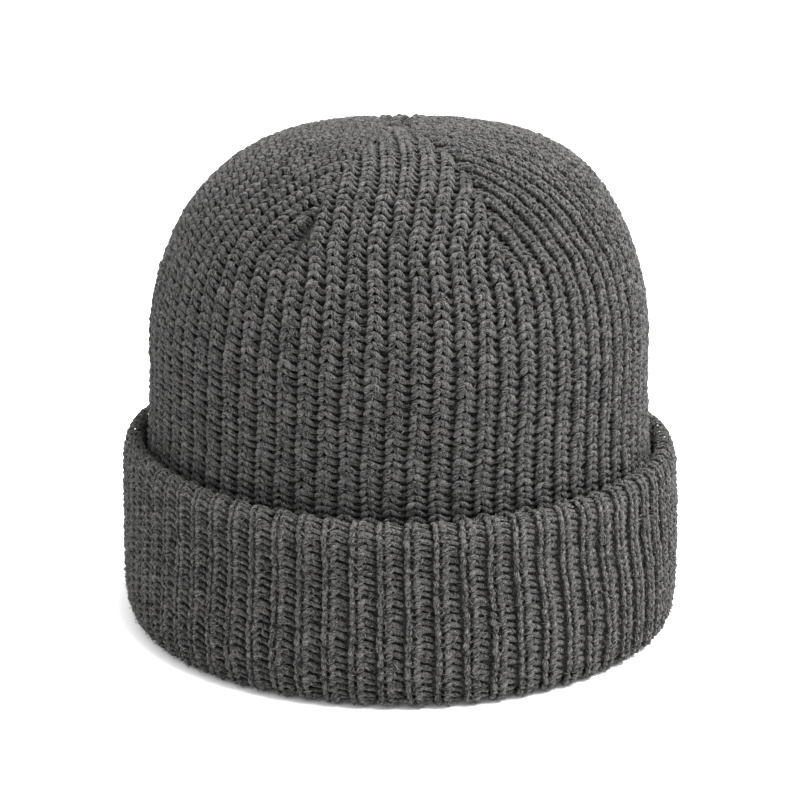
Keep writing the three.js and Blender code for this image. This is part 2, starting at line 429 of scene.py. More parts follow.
@dataclass(frozen=True)
class CuffForm:
    """The cuff's face, from inside the mouth, round the bottom fold and over the rim."""

    depth_ratio: float = 1.08
    turn: float = math.radians(0.4)
    rib_shift: float = 0.5
    front_spread: float = 0.1
    low_pitch: float = 2.35
    high_pitch: float = 2.0
    pitch_heights: Span = (15.0, 50.0)
    rise_heights: Span = (12.0, 57.0)
    front_rise: float = 0.8
    right_rise: float = 5.0
    left_rise: float = 2.2
    rise_fullness: float = 1.3
    drift: Triples = (
        (18.0, -0.19, 0.6), (25.0, -0.04, 0.42), (33.0, 0.16, 0.14),
        (40.0, 0.28, -0.15), (47.0, 0.24, -0.15), (54.0, 0.26, -0.08),
    )
    outline: Triples = (
        (83.3, 5.1, 0.2), (83.0, 2.6, 0.3), (84.6, 0.6, 0.4), (87.6, 0.3, 0.6), (90.6, 0.6, 0.8),
        (93.2, 3.6, 0.6), (94.4, 12.0, 0.2), (94.4, 23.0, 0.3), (94.3, 34.0, 0.2),
        (93.7, 48.0, 0.0), (92.9, 53.8, -0.1), (91.0, 57.0, -0.2), (88.4, 57.6, -0.2),
        (86.3, 56.0, -0.2), (85.4, 51.0, -0.1),
    )
    points_a_span: int = 24

    @cached_property
    def section(self) -> Section:
        """The cuff's face along the cloth, from inside the mouth to inside the rim."""
        line = rounded_line(np.array(self.outline), self.points_a_span)
        share = ease(line[:, 1], *self.pitch_heights)
        return Section(
            radius=line[:, 0],
            height=line[:, 1],
            shift=line[:, 2],
            pitch=self.low_pitch + share * (self.high_pitch - self.low_pitch),
        )

    def azimuth(self, ribs: Values, height: Values) -> Values:
        """How far round a rib stands: they are wider apart at the front and the back."""
        even = (ribs + self.rib_shift) * RIB_STEP
        heights, *drifts = zip(*self.drift)
        right, left = (np.interp(height, heights, drift) for drift in drifts)
        side = np.sin(even)
        drift = RIB_STEP * np.where(side < 0, -side * right, side * left)
        return self.turn + even + self.front_spread / 2 * np.sin(2 * even) + drift

    def place(self, ribs: Values, course: Values, lift: Values | float) -> Values:
        """Lays flat cloth on the cuff.

        Args:
            ribs: ribs from the front's middle, growing with the azimuth.
            course: courses from the cloth's start inside the mouth.
            lift: how far each point stands out of the cuff's face.

        Returns:
            The points on the hat, with x, y and z along the last axis.
        """
        cut = self.section.at(course)
        azimuth = self.azimuth(ribs, cut.height)
        low, high = self.rise_heights
        share = np.clip((cut.height - low) / (high - low), 0.0, 1.0)
        raised = replace(cut, height=cut.height + share * self.rise(azimuth))
        return ring_points(raised, azimuth, lift, self.depth_ratio)

    def rise(self, azimuth: Values) -> Values:
        """How much higher the rim stands than the section: more over the ears, most on the right."""
        side = np.sin(azimuth)
        most = np.where(side < 0, self.right_rise, self.left_rise)
        return self.front_rise + most * np.abs(side) ** self.rise_fullness


@dataclass(frozen=True)
class Tubes:
    """Many like tubes of yarn on flat cloth, indexed by tube, ring and place round the ring.

    Attributes:
        across: millimetres across the cloth from the tube's own middle.
        along: millimetres along the cloth from it.
        lift: millimetres out of the cloth's face.
        yarn: the same points on the straightened, untwisted yarn.
    """

    across: Values
    along: Values
    lift: Values
    yarn: Values


@dataclass(frozen=True)
class Gauge:
    """The size of one stitch on the flat cloth that it is drawn on.

    Attributes:
        rib: width from rib to rib.
        course: height from course to course.
    """

    rib: float
    course: float


@dataclass(frozen=True)
class Spread:
    """How much strands differ from each other, as the usual size of each difference.

    Attributes:
        size: share by which a strand is wider or taller.
        lean: how much it leans to a side, as a share of its height.
        across: millimetres to a side, for the strand and for a wave along it.
        along: millimetres along the rib, for the same two.
        lift: millimetres out of the cloth.
        bow: millimetres that its middle stands out further.
        thickness: share by which its yarn is thicker.
        taper: share by which its yarn thins along it.
    """

    size: float = 0.045
    lean: float = 0.054
    across: float = 0.09
    along: float = 0.108
    lift: float = 0.09
    bow: float = 0.126
    thickness: float = 0.072
    taper: float = 0.054


@dataclass(frozen=True)
class Strand:
    """A length of yarn as it shows in one stitch, in millimetres on flat cloth.

    Attributes:
        spine: the yarn's middle and radius, as rows of across, along, lift and radius, from the
            middle of the rib, the stitch's own course and the cloth's face.
        turns: where the points round the yarn are, in degrees; most of them face out.
        roughness: how much the yarn's thickness differs from place to place.
        twist: how far the yarn's plies turn in a millimetre, in radians.
        spread: how much the strands differ from each other.
    """

    spine: tuple[tuple[float, float, float, float], ...]
    turns: tuple[float, ...] = (90.0, 150.0, 232.0, 308.0, 30.0)
    roughness: float = 0.07
    twist: float = 1.1
    spread: Spread = Spread()

    def tubes(self, count: int, random: np.random.Generator) -> Tubes:
        """Draws strands that each differ a little.

        Args:
            count: how many strands are wanted.
            random: where the differences come from.

        Returns:
            The strands' tubes.
        """

        def vary(size: float) -> Values:
            """A difference of its own for each strand."""
            return size * random.standard_normal((count, 1))

        spread = self.spread
        across, along, lift, thickness = np.array(self.spine).T[:, None, :]
        share = np.linspace(0.0, 1.0, len(self.spine))[None, :]
        lean = vary(spread.lean)
        wave = np.sin(math.tau * share)
        bow = np.sin(math.pi * share)
        spine = np.stack(
            np.broadcast_arrays(
                across * (1 + vary(spread.size))
                - lean * along
                + vary(spread.across)
                + vary(spread.across) * wave,
                along * (1 + vary(spread.size))
                + lean * across
                + vary(spread.along)
                + vary(spread.along) * wave,
                lift + vary(spread.lift) + vary(spread.bow) * bow,
            ),
            axis=-1,
        )
        ahead = np.gradient(spine, axis=1)
        length = np.linalg.norm(ahead, axis=-1, keepdims=True)
        run = np.cumsum(length[..., 0], axis=1)
        ahead = ahead / length
        flat = np.cross(ahead, np.array([0.0, 0.0, 1.0]))
        flat = flat / np.linalg.norm(flat, axis=-1, keepdims=True)
        out = np.cross(flat, ahead)
        radius = thickness * (1 + vary(spread.thickness) + vary(spread.taper) * wave)
        turn = np.radians(self.turns)
        rough = 1 + self.roughness * random.standard_normal((*radius.shape, len(turn)))
        sideways = radius[..., None] * np.cos(turn) * rough
        outward = radius[..., None] * np.sin(turn) * rough
        surface = (
            spine[:, :, None, :]
            + sideways[..., None] * flat[:, :, None, :]
            + outward[..., None] * out[:, :, None, :]
        )
        twisted = turn + self.twist * run[..., None]
        start = STRAND_START * random.random((count, 1, 1))
        yarn = np.stack(
            np.broadcast_arrays(
                radius[..., None] * np.cos(twisted),
                radius[..., None] * np.sin(twisted),
                run[..., None] + start,
            ),
            axis=-1,
        )
        return Tubes(surface[..., 0], surface[..., 1], surface[..., 2], yarn)


def place_object(name: str, data: bpy.types.ID) -> bpy.types.Object:
    """Puts a mesh, a lamp or a camera into the scene."""
    placed = bpy.data.objects.new(name, data)
    bpy.context.scene.collection.objects.link(placed)
    return placed


@dataclass
class ClothMesh:
    """Collects the faces of one piece and writes them as a Blender mesh.

    Attributes:
        name: the piece's name.
        points: blocks of places in millimetres.
        yarn: for each point, where it is on the straightened yarn, in millimetres.
        shade: for each point, how light its stitch is, from 0 to 1.
        depth: for each point, how deep in the cloth it lies, in millimetres; the yarn finish paints
            shade from it.
        faces: blocks of faces that have as many corners within a block.
        maps: for each corner of those faces, its place on the piece's map, by tube and cell.
    """

    name: str
    points: list[Values] = field(default_factory=list)
    yarn: list[Values] = field(default_factory=list)
    shade: list[Values] = field(default_factory=list)
    depth: list[Values] = field(default_factory=list)
    faces: list[Indices] = field(default_factory=list)
    maps: list[Values] = field(default_factory=list)
    point_count: int = 0
    cell_count: int = 0

    def add_tubes(self, tubes: Tubes, places: Values, shade: Values) -> None:
        """Adds closed tubes.

        Args:
            tubes: the tubes on flat cloth.
            places: the same points on the hat, with x, y and z along the last axis.
            shade: how light each tube is.
        """
        count, rings, sides = tubes.across.shape
        self.points.append(places.reshape(-1, 3))
        self.yarn.append(tubes.yarn.reshape(-1, 3))
        self.shade.append(np.repeat(shade, rings * sides))
        self.depth.append(-tubes.lift.ravel())
        tube = np.arange(count)[:, None, None, None]
        ring, side = self._grid(rings, sides, row_first=True)
        corners = self.point_count + (tube * rings + ring) * sides + side % sides
        self.faces.append(corners.reshape(-1, 4))
        wide = WALL_MARGIN + WALL_SIZE[0] / (rings - 1) * ring
        tall = WALL_MARGIN + WALL_SIZE[1] / sides * side
        self.maps.append(self._in_cells(tube + self.cell_count, wide, tall))
        tube = tube[..., 0]
        ends = np.stack([np.arange(sides), (rings - 1) * sides + np.arange(sides)[::-1]])
        self.faces.append((self.point_count + tube * rings * sides + ends).reshape(-1, sides))
        turn = np.arange(sides) * math.tau / sides
        wide = END_ACROSS + END_RADIUS * np.cos(turn)
        tall = np.array(END_HEIGHTS)[:, None] + END_RADIUS * np.sin(turn)
        self.maps.append(self._in_cells(tube + self.cell_count, wide, tall))
        self.point_count += count * rings * sides
        self.cell_count += count

    def add_slivers(self, places: Values, depth: Values, random: np.random.Generator) -> None:
        """Adds single faces with four corners.

        Args:
            places: the corners on the hat, by face and corner, with x, y and z along the last axis.
            depth: how deep in the cloth each corner lies, from which the finish paints shade.
            random: where the faces' shades come from.
        """
        count = len(places)
        self.points.append(places.reshape(-1, 3))
        start = random.uniform(0, FIBRE_START, (count, 1, 3))
        corners = np.array([[0.0, 0.0, 0.0], [0.1, 0.0, 1.0], [0.0, 0.0, 2.0], [-0.1, 0.0, 1.0]])
        self.yarn.append((start + corners).reshape(-1, 3))
        self.shade.append(np.repeat(random.uniform(0.0, LIGHTEST_FIBRE, count), 4))
        self.depth.append(depth.ravel())
        cell = np.arange(count)[:, None]
        self.faces.append(self.point_count + 4 * cell + np.arange(4))
        wide = np.array([[0.1, 0.5, 0.9, 0.5]])
        tall = np.array([[0.5, 0.1, 0.5, 0.9]])
        self.maps.append(self._in_cells(cell + self.cell_count, wide, tall))
        self.point_count += 4 * count
        self.cell_count += count

    @staticmethod
    def _in_cells(cell: Indices, wide: Values, tall: Values) -> Values:
        """Corners as rows of their cell's number and their place in it."""
        return np.stack(np.broadcast_arrays(cell, wide, tall), axis=-1).reshape(-1, 3)

    @staticmethod
    def _grid(rows: int, columns: int, row_first: bool) -> tuple[Indices, Indices]:
        """The corners of the faces of a grid that closes on itself along its rows.

        Args:
            rows: how many rows of points it has.
            columns: how many points a row has.
            row_first: whether the corners of a face go to the next row first.

        Returns:
            The row and the column of each corner, by row, column and corner.
        """
        ahead, aside = np.array([0, 1, 1, 0]), np.array([0, 0, 1, 1])
        if not row_first:
            ahead, aside = aside, ahead
        return np.arange(rows - 1)[:, None, None] + ahead, np.arange(columns)[:, None] + aside

    def add_sheet(self, places: Values, yarn: Values, depth: Values | float) -> None:
        """Adds a grid of faces that closes on itself round the hat.

        Args:
            places: points by row along the cloth and column round the hat.
            yarn: pattern coordinates of the same points.
            depth: how deep in the cloth they count as lying, from which the finish paints shade.
        """
        rows, columns = places.shape[:2]
        self.points.append(places.reshape(-1, 3))
        self.yarn.append(yarn.reshape(-1, 3))
        self.shade.append(np.full(rows * columns, 0.5))
        self.depth.append(np.broadcast_to(depth, (rows, columns)).ravel())
        row, column = self._grid(rows, columns, row_first=False)
        corners = self.point_count + row * columns + column % columns
        self.faces.append(corners.reshape(-1, 4))
        size = 1 - 2 * SHEET_MARGIN
        wide = SHEET_MARGIN + size / columns * column
        tall = SHEET_MARGIN + size / (rows - 1) * row
        self.maps.append(self._in_cells(np.array(self.cell_count), wide, tall))
        self.point_count += rows * columns
        self.cell_count += 1

    def build(self, material: bpy.types.Material, slot: str) -> bpy.types.Object:
        """Writes the mesh and makes the piece ride on the hat's one body.

        Args:
            material: the piece's finish.
            slot: the name of a material slot; it is not used.

        Returns:
            The finished piece.
        """
        mesh = bpy.data.meshes.new(self.name)
        points = np.concatenate(self.points) * MM
        corners = np.concatenate([block.ravel() for block in self.faces])
        sizes = np.concatenate([np.full(len(block), block.shape[1]) for block in self.faces])
        mesh.vertices.add(len(points))
        mesh.vertices.foreach_set("co", points.ravel())
        mesh.loops.add(len(corners))
        mesh.loops.foreach_set("vertex_index", corners.astype(np.int32))
        mesh.polygons.add(len(sizes))
        starts = np.concatenate([[0], np.cumsum(sizes)[:-1]])
        mesh.polygons.foreach_set("loop_start", starts.astype(np.int32))
        mesh.update(calc_edges=True)
        mesh.shade_smooth()
        yarn = mesh.attributes.new("yarn", "FLOAT_VECTOR", "POINT")
        yarn.data.foreach_set("vector", np.concatenate(self.yarn).ravel())
        for name, values in (("shade", self.shade), ("depth", self.depth)):
            layer = mesh.attributes.new(name, "FLOAT", "POINT")
            layer.data.foreach_set("value", np.concatenate(values))
        cells = np.concatenate(self.maps)
        across = math.ceil(math.sqrt(self.cell_count))
        place = np.stack([cells[:, 0] % across, cells[:, 0] // across], axis=-1)
        layer = mesh.uv_layers.new(name="OFBake")
        layer.data.foreach_set("uv", ((place + cells[:, 1:]) / across).ravel())
        mesh.materials.append(material)
        piece = place_object(self.name, mesh)
        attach(piece, "root")
        LOG.info("%s: %d points, %d faces", self.name, len(points), len(sizes))
        return piece


def flat_places(ribs: Values, courses: Values, gauge: Gauge) -> Values:
    """Pattern coordinates of plain cloth, as if its yarn ran across the ribs."""
    parts = np.broadcast_arrays(courses * gauge.course, courses * 0, ribs * gauge.rib)
    return np.stack(parts, axis=-1)


def groove(ribs: Values) -> Values:
    """The groove between two ribs: 1 in its middle and 0 on the ribs' crests."""
    return np.cos(math.pi * (ribs - GROOVE_PLACE)) ** 2


@dataclass(frozen=True)
class Stitches:
    """Where stitches lie on the flat cloth.

    Attributes:
        rib: the rib that each stitch is on.
        course: the course that it is on.
        shade: how light its yarn is, from 0 to 1.
        relief: its relief as a share of the full one.
        groove: how deep the groove beside its rib is, in millimetres.
    """

    rib: Values
    course: Values
    shade: Values
    relief: Values
    groove: Values

    @property
    def rows(self) -> tuple[Values, ...]:
        """Their values, in the order of the fields."""
        return self.rib, self.course, self.shade, self.relief, self.groove

    def where(self, wanted: Values) -> "Stitches":
        """Those that are wanted."""
        return Stitches(*(row[wanted] for row in self.rows))

    def times(self, copies: int) -> "Stitches":
        """Each of them several times over."""
        return Stitches(*(np.repeat(row, copies) for row in self.rows))


def flush(ribs: Values, course: Values) -> Values:
    """Cloth that isn't sunk in anywhere."""
    return np.zeros(np.broadcast(ribs, course).shape)


@dataclass(frozen=True)
class Cloth:
    """Flat cloth and how it is laid on the hat.

    Attributes:
        gauge: the size of a stitch on it.
        place: where its ribs, courses and lifts come to lie.
        sink: how far its ribs and courses are sunk in, in millimetres.
    """

    gauge: Gauge
    place: Mapping
    sink: Sinking = flush


@dataclass(frozen=True)
class Fibres:
    """Loose fibres that lie over the yarn, each a sliver that is widest in its middle.

    Attributes:
        columns: between which millimetres across a rib their middles lie.
        lengths: their least and greatest length.
        width: usual width of their middles.
        widths: their least and greatest width, as shares of it.
        lifts: lifts of root, middle and tip from the cloth's face.
        spread: how much those lifts differ.
        fall: how much lower they lie at a rib's edges than at its middle.
    """

    columns: Span
    lengths: Span = (1.2, 3.4)
    width: float = 0.2
    widths: Span = (0.6, 1.4)
    lifts: Place = (-0.4, 0.2, 0.05)
    spread: float = 0.22
    fall: float = 0.1

    def lay(
        self, mesh: ClothMesh, cloth: Cloth, stitches: Stitches, random: np.random.Generator
    ) -> None:
        """Lays one fibre at each of many stitches.

        Args:
            mesh: the piece that the fibres go into.
            cloth: the cloth that they lie on.
            stitches: the stitches.
            random: where the fibres' differences come from.
        """
        count = len(stitches.rib)
        middle = random.uniform(*self.columns, (count, 1))
        heading = random.uniform(0, math.pi, (count, 1))
        half = random.uniform(*self.lengths, (count, 1)) / 2
        wide = self.width / 2 * random.uniform(*self.widths, (count, 1))
        ahead = half * np.array([[-1.0, 0.0, 1.0, 0.0]])
        aside = wide * np.array([[0.0, 1.0, 0.0, -1.0]])
        across = middle + ahead * np.cos(heading) - aside * np.sin(heading)
        along = ahead * np.sin(heading) + aside * np.cos(heading)
        raised = self.spread * random.standard_normal((3, count))
        root, centre, tip = np.array(self.lifts)[:, None] + raised
        rib = stitches.rib[:, None] + across / cloth.gauge.rib
        course = stitches.course[:, None] + random.random((count, 1)) + along / cloth.gauge.course
        sunk = self.fall * across**2 + stitches.groove[:, None] * groove(rib)
        lift = np.stack([root, centre, tip, centre], axis=-1) - sunk - cloth.sink(rib, course)
        # Their depth sets the shade painted on them
        mesh.add_slivers(cloth.place(rib, course, lift), np.maximum(-lift, 0.0), random)


@dataclass(frozen=True)
class Knit:
    """One way of knitting: its gauge, its stitch and the loose fibres over it.

    Attributes:
        gauge: the size of a stitch.
        stitch: the yarn that shows in one.
        fibres: the loose fibres.
        fibres_a_stitch: how many of them there are to a stitch.
        stagger: by how many courses ribs are out of step at most.
        sway: how far a rib winds to each side, in ribs' widths.
        winding: how fast it winds, in radians by course and by rib.
    """

    gauge: Gauge
    stitch: Strand
    fibres: Fibres
    fibres_a_stitch: int = 5
    stagger: float = 0.4
    sway: float = 0.03
    winding: Span = (0.45, 9.0)

    def set_out(
        self, ribs: Values, courses: Values, random: np.random.Generator
    ) -> tuple[Values, Values, Values]:
        """Sets out the stitches of a panel.

        Args:
            ribs: the panel's ribs.
            courses: its courses.
            random: where the stitches' differences come from.

        Returns:
            The rib, the course and the shade of each stitch.
        """
        rib, course = (grid.ravel() for grid in np.meshgrid(ribs, courses))
        course = course + np.tile(self.stagger * random.random(len(ribs)), len(courses))
        by_course, by_rib = self.winding
        rib = rib + self.sway * np.sin(by_course * course + by_rib * rib)
        return rib, course, random.random(len(rib))

    def lay(
        self, mesh: ClothMesh, cloth: Cloth, stitches: Stitches, random: np.random.Generator
    ) -> None:
        """Lays yarn and loose fibres at each of many stitches.

        Args:
            mesh: the piece that they go into.
            cloth: the cloth that they are in.
            stitches: the stitches.
            random: where the differences between them come from.
        """
        tubes = self.stitch.tubes(len(stitches.rib), random)
        rib = stitches.rib[:, None, None] + tubes.across / cloth.gauge.rib
        course = stitches.course[:, None, None] + tubes.along / cloth.gauge.course
        sunk = stitches.groove[:, None, None] * groove(rib) + cloth.sink(rib, course)
        # The sunk lift is also the depth that sets each stitch's painted shade, darker in grooves
        # and slits
        tubes = replace(tubes, lift=tubes.lift * stitches.relief[:, None, None] - sunk)
        mesh.add_tubes(tubes, cloth.place(rib, course, tubes.lift), stitches.shade)
        self.fibres.lay(mesh, cloth, stitches.times(self.fibres_a_stitch), random)


# Its stitch is an arch: up the left leg, over a thin bridge, down the right leg and on through
# the valley
CROWN_KNIT = Knit(
    gauge=Gauge(rib=7.0, course=2.5),
    stitch=Strand(
        spine=(
            (-2.6, -2.0, -2.7, 0.7), (-2.45, -1.35, -1.6, 0.98), (-2.1, -0.6, -1.15, 1.12),
            (-1.6, 0.08, -1.2, 1.0), (-0.85, 0.42, -1.45, 0.76), (-0.15, 0.22, -1.2, 1.0),
            (0.45, -0.3, -1.15, 1.14), (1.1, -0.9, -1.65, 1.02), (1.9, -1.4, -2.15, 0.9),
            (2.9, -1.65, -2.55, 0.8), (4.3, -1.2, -2.6, 0.55),
        )
    ),
    fibres=Fibres(columns=(-2.8, 2.2)),
)

# The cloth is upside down here: down one bead of the chain, under, and up to a round bead
CUFF_KNIT = Knit(
    gauge=Gauge(rib=8.0, course=2.2),
    stitch=Strand(
        spine=(
            (-2.6, 1.25, -2.2, 0.5), (-2.5, 0.65, -1.45, 0.84), (-2.4, -0.05, -1.1, 0.96),
            (-2.25, -0.75, -1.65, 0.74), (-1.7, -1.25, -2.2, 0.5), (-0.7, -1.3, -1.9, 0.5),
            (-0.1, -0.8, -1.4, 0.72), (0.1, 0.0, -1.05, 1.04), (0.5, 0.62, -1.45, 0.94),
            (1.3, 0.75, -2.0, 0.82), (2.6, 0.25, -2.25, 0.9), (4.1, -0.5, -2.8, 0.6),
        )
    ),
    fibres=Fibres(columns=(-3.4, 3.2), fall=0.05),
    sway=0.02,
)


class Wiring:
    """Adds nodes to a shader tree and joins them, so that a finish reads as a list of steps."""

    def __init__(self, tree: bpy.types.NodeTree) -> None:
        """Works on one tree."""
        self.tree = tree

    def add(self, kind: str, **inputs: object) -> bpy.types.Node:
        """Adds a node.

        Args:
            kind: the node's type, without its leading ShaderNode.
            inputs: for a name of the node's own settings, its value; for the name of an input,
                with spaces as underscores, a value or a socket to join to it.

        Returns:
            The new node.
        """
        full = kind if kind.startswith("NodeGroup") else f"ShaderNode{kind}"
        node = self.tree.nodes.new(full)
        for name, value in inputs.items():
            if hasattr(node, name):
                setattr(node, name, value)
            else:
                self.feed(node.inputs[name.replace("_", " ")], value)
        return node

    def feed(self, socket: bpy.types.NodeSocket, value: object) -> None:
        """Joins a socket to another, or sets its value."""
        if isinstance(value, bpy.types.NodeSocket):
            self.tree.links.new(value, socket)
        else:
            socket.default_value = value

    def math(self, operation: str, *values: object, clamp: bool = False) -> bpy.types.NodeSocket:
        """A sum, product or the like of values and sockets."""
        node = self.add("Math", operation=operation, use_clamp=clamp)
        for socket, value in zip(node.inputs, values):
            self.feed(socket, value)
        return node.outputs[0]

    def vector(self, operation: str, first: object, second: object) -> bpy.types.NodeSocket:
        """A sum or product of vectors."""
        node = self.add("VectorMath", operation=operation)
        self.feed(node.inputs[0], first)
        self.feed(node.inputs[1], second)
        return node.outputs[0]

    def noise(self, vector: object, detail: float) -> bpy.types.NodeSocket:
        """Noise of scale 1 at a vector."""
        node = self.add("TexNoise", Vector=vector, Scale=1.0, Detail=detail, Roughness=0.6)
        return node.outputs["Fac"]

    def spread(self, value: object, low: float, high: float) -> bpy.types.NodeSocket:
        """A value brought from low and high to 0 and 1, held between them."""
        node = self.add("MapRange", Value=value, From_Min=low, From_Max=high)
        return node.outputs["Result"]

    def mix(self, share: object, first: object, second: object) -> bpy.types.NodeSocket:
        """A colour between two: the first at a share of 0, and the second at 1."""
        node = self.add("Mix", data_type="RGBA", Factor=share)
        self.feed(node.inputs[6], first)
        self.feed(node.inputs[7], second)
        return node.outputs[2]


def new_group(name: str, inputs: dict[str, str], outputs: dict[str, str]) -> Wiring:
    """Starts a shader node group.

    Args:
        name: the group's name.
        inputs: the kinds of its inputs by name.
        outputs: the kinds of its outputs by name.

    Returns:
        The wiring of the group's tree.
    """
    tree = bpy.data.node_groups.new(name, "ShaderNodeTree")
    for direction, sockets in (("INPUT", inputs), ("OUTPUT", outputs)):
        for label, kind in sockets.items():
            tree.interface.new_socket(label, in_out=direction, socket_type=f"NodeSocket{kind}")
    return Wiring(tree)


@dataclass(frozen=True)
class Melange:
    """The mix of dark and light fibres along a plied yarn, and the relief that they make.

    A scale is how often noise changes in a millimetre, across the yarn twice and then along it.
    A mask holds the noise that counts as none and the noise that counts as all. A share is how much
    a mask lightens the yarn. Depths are in millimetres under the cloth's face; the deeper the yarn
    lies, the darker it is painted, as painted shade in the knit's hollows, black deepest down.
    """

    fibre_scale: Place = (1.5, 1.5, 0.55)
    fibre_mask: Span = (0.3, 0.7)
    fibre_share: float = 1.1
    hair_scale: Place = (3.2, 3.2, 1.1)
    hair_mask: Span = (0.52, 0.72)
    hair_share: float = 1.1
    patch_scale: Place = (0.3, 0.3, 0.22)
    patch_share: float = 0.8
    stitch_share: float = 0.25
    tint_mask: Span = (0.35, 0.65)
    lightness: float = 0.22
    # Painted shade: between the two shade depths the yarn darkens to the share of its lightness
    # below, and between the two black depths it darkens on to black
    painted_shade_depths: Span = (1.9, 0.2)
    lightness_in_painted_shade: float = 0.42
    painted_black_depths: Span = (4.8, 3.5)
    fibre_relief: float = 0.6
    hair_relief: float = 0.5
    ply_relief: float = 0.4

    def group(self) -> bpy.types.NodeTree:
        """Builds the shader node group that both yarns use."""
        wiring = new_group(
            "melange yarn",
            {"Yarn": "Vector", "Shade": "Float", "Depth": "Float", "Contrast": "Float"},
            {"Lightness": "Float", "Tint": "Float", "Relief": "Float"},
        )
        given = wiring.add("NodeGroupInput").outputs
        yarn, depth = given["Yarn"], given["Depth"]
        fibres = wiring.noise(wiring.vector("MULTIPLY", yarn, self.fibre_scale), 2.0)
        fibres = wiring.spread(fibres, *self.fibre_mask)
        hairs = wiring.noise(wiring.vector("MULTIPLY", yarn, self.hair_scale), 1.0)
        hairs = wiring.spread(hairs, *self.hair_mask)
        patches = wiring.noise(wiring.vector("MULTIPLY", yarn, self.patch_scale), 1.0)
        light = 0.0
        for mask, middle, share in (
            (given["Shade"], 0.5, self.stitch_share),
            (fibres, 0.5, self.fibre_share),
            (hairs, 0.0, self.hair_share),
            (patches, 0.5, self.patch_share),
        ):
            light = wiring.math("MULTIPLY_ADD", wiring.math("SUBTRACT", mask, middle), share, light)
        light = wiring.math("MULTIPLY_ADD", light, given["Contrast"], self.lightness)
        # Painted shade: the yarn is painted darker the deeper it lies, in place of the shade between
        # and behind the stitches and in the dart slits
        crest = wiring.spread(depth, *self.painted_shade_depths)
        least = self.lightness_in_painted_shade
        painted_shade_factor = wiring.math("MULTIPLY_ADD", crest, 1 - least, least)
        painted_shade_factor = wiring.math("MULTIPLY", painted_shade_factor, wiring.spread(depth, *self.painted_black_depths))
        light = wiring.math("MULTIPLY", light, painted_shade_factor, clamp=True)
        place = wiring.add("SeparateXYZ", Vector=yarn).outputs
        turn = wiring.math("ARCTAN2", place["Y"], place["X"])
        ply = wiring.math("ABSOLUTE", wiring.math("SINE", turn))
        relief = wiring.math("MULTIPLY", ply, self.ply_relief)
        relief = wiring.math("MULTIPLY_ADD", fibres, self.fibre_relief, relief)
        relief = wiring.math("MULTIPLY_ADD", hairs, self.hair_relief, relief)
        tint = wiring.spread(wiring.noise(yarn, 1.0), *self.tint_mask)
        wiring.add("NodeGroupOutput", Lightness=light, Tint=tint, Relief=relief)
        return wiring.tree


@dataclass(frozen=True)
class YarnFinish:
    """Melange wool yarn: dark and light grey fibres spun together, matt, with a soft bloom, and
    painted shade where it lies deep in the cloth.

    Attributes:
        name: the finish's name.
        light: colour of the light fibres, linear.
        tinted: colour of the light fibres where they are tinted, linear.
        contrast: how much the fibres differ.
        dark: colour of the dark fibres, and of the deepest painted shade, linear.
        relief: depth of the fibres, in metres.
        bump: how strongly that depth shades the yarn.
        roughness: roughness of the yarn.
        sheen: strength of its bloom.
        sheen_roughness: roughness of its bloom.
        specular: strength of its gloss.
    """

    name: str
    light: Colour
    tinted: Colour
    contrast: float
    dark: Colour = (0.0025, 0.0025, 0.0022)
    relief: float = 0.0008
    bump: float = 0.8
    roughness: float = 0.92
    sheen: float = 0.08
    sheen_roughness: float = 0.5
    specular: float = 0.12

    def material(self, group: bpy.types.NodeTree) -> bpy.types.Material:
        """Builds the finish.

        Args:
            group: the melange yarn group.

        Returns:
            The material.
        """
        material = bpy.data.materials.new(self.name)
        material.use_nodes = True
        material.node_tree.nodes.clear()
        wiring = Wiring(material.node_tree)
        given = {
            label: wiring.add("Attribute", attribute_name=label.lower()).outputs[output]
            for label, output in (("Yarn", "Vector"), ("Shade", "Fac"), ("Depth", "Fac"))
        }
        melange = wiring.add("Group", node_tree=group, Contrast=self.contrast, **given).outputs
        light = wiring.mix(melange["Tint"], (*self.light, 1.0), (*self.tinted, 1.0))
        bump = wiring.add(
            "Bump", Strength=self.bump, Distance=self.relief, Height=melange["Relief"]
        )
        # The base colour carries painted shade from the group: darker the deeper the yarn lies
        surface = wiring.add(
            "BsdfPrincipled",
            Base_Color=wiring.mix(melange["Lightness"], (*self.dark, 1.0), light),
            Roughness=self.roughness,
            Sheen_Weight=self.sheen,
            Sheen_Roughness=self.sheen_roughness,
            Specular_IOR_Level=self.specular,
            Normal=bump.outputs["Normal"],
        )
        wiring.add("OutputMaterial", Surface=surface.outputs["BSDF"])
        return material


CROWN_YARN = YarnFinish(
    name="crown melange yarn",
    light=(0.11, 0.11, 0.098),
    tinted=(0.114, 0.106, 0.112),
    contrast=0.9,
)

CUFF_YARN = YarnFinish(
    name="cuff melange yarn",
    light=(0.119, 0.119, 0.105),
    tinted=(0.123, 0.115, 0.119),
    contrast=0.85,
)


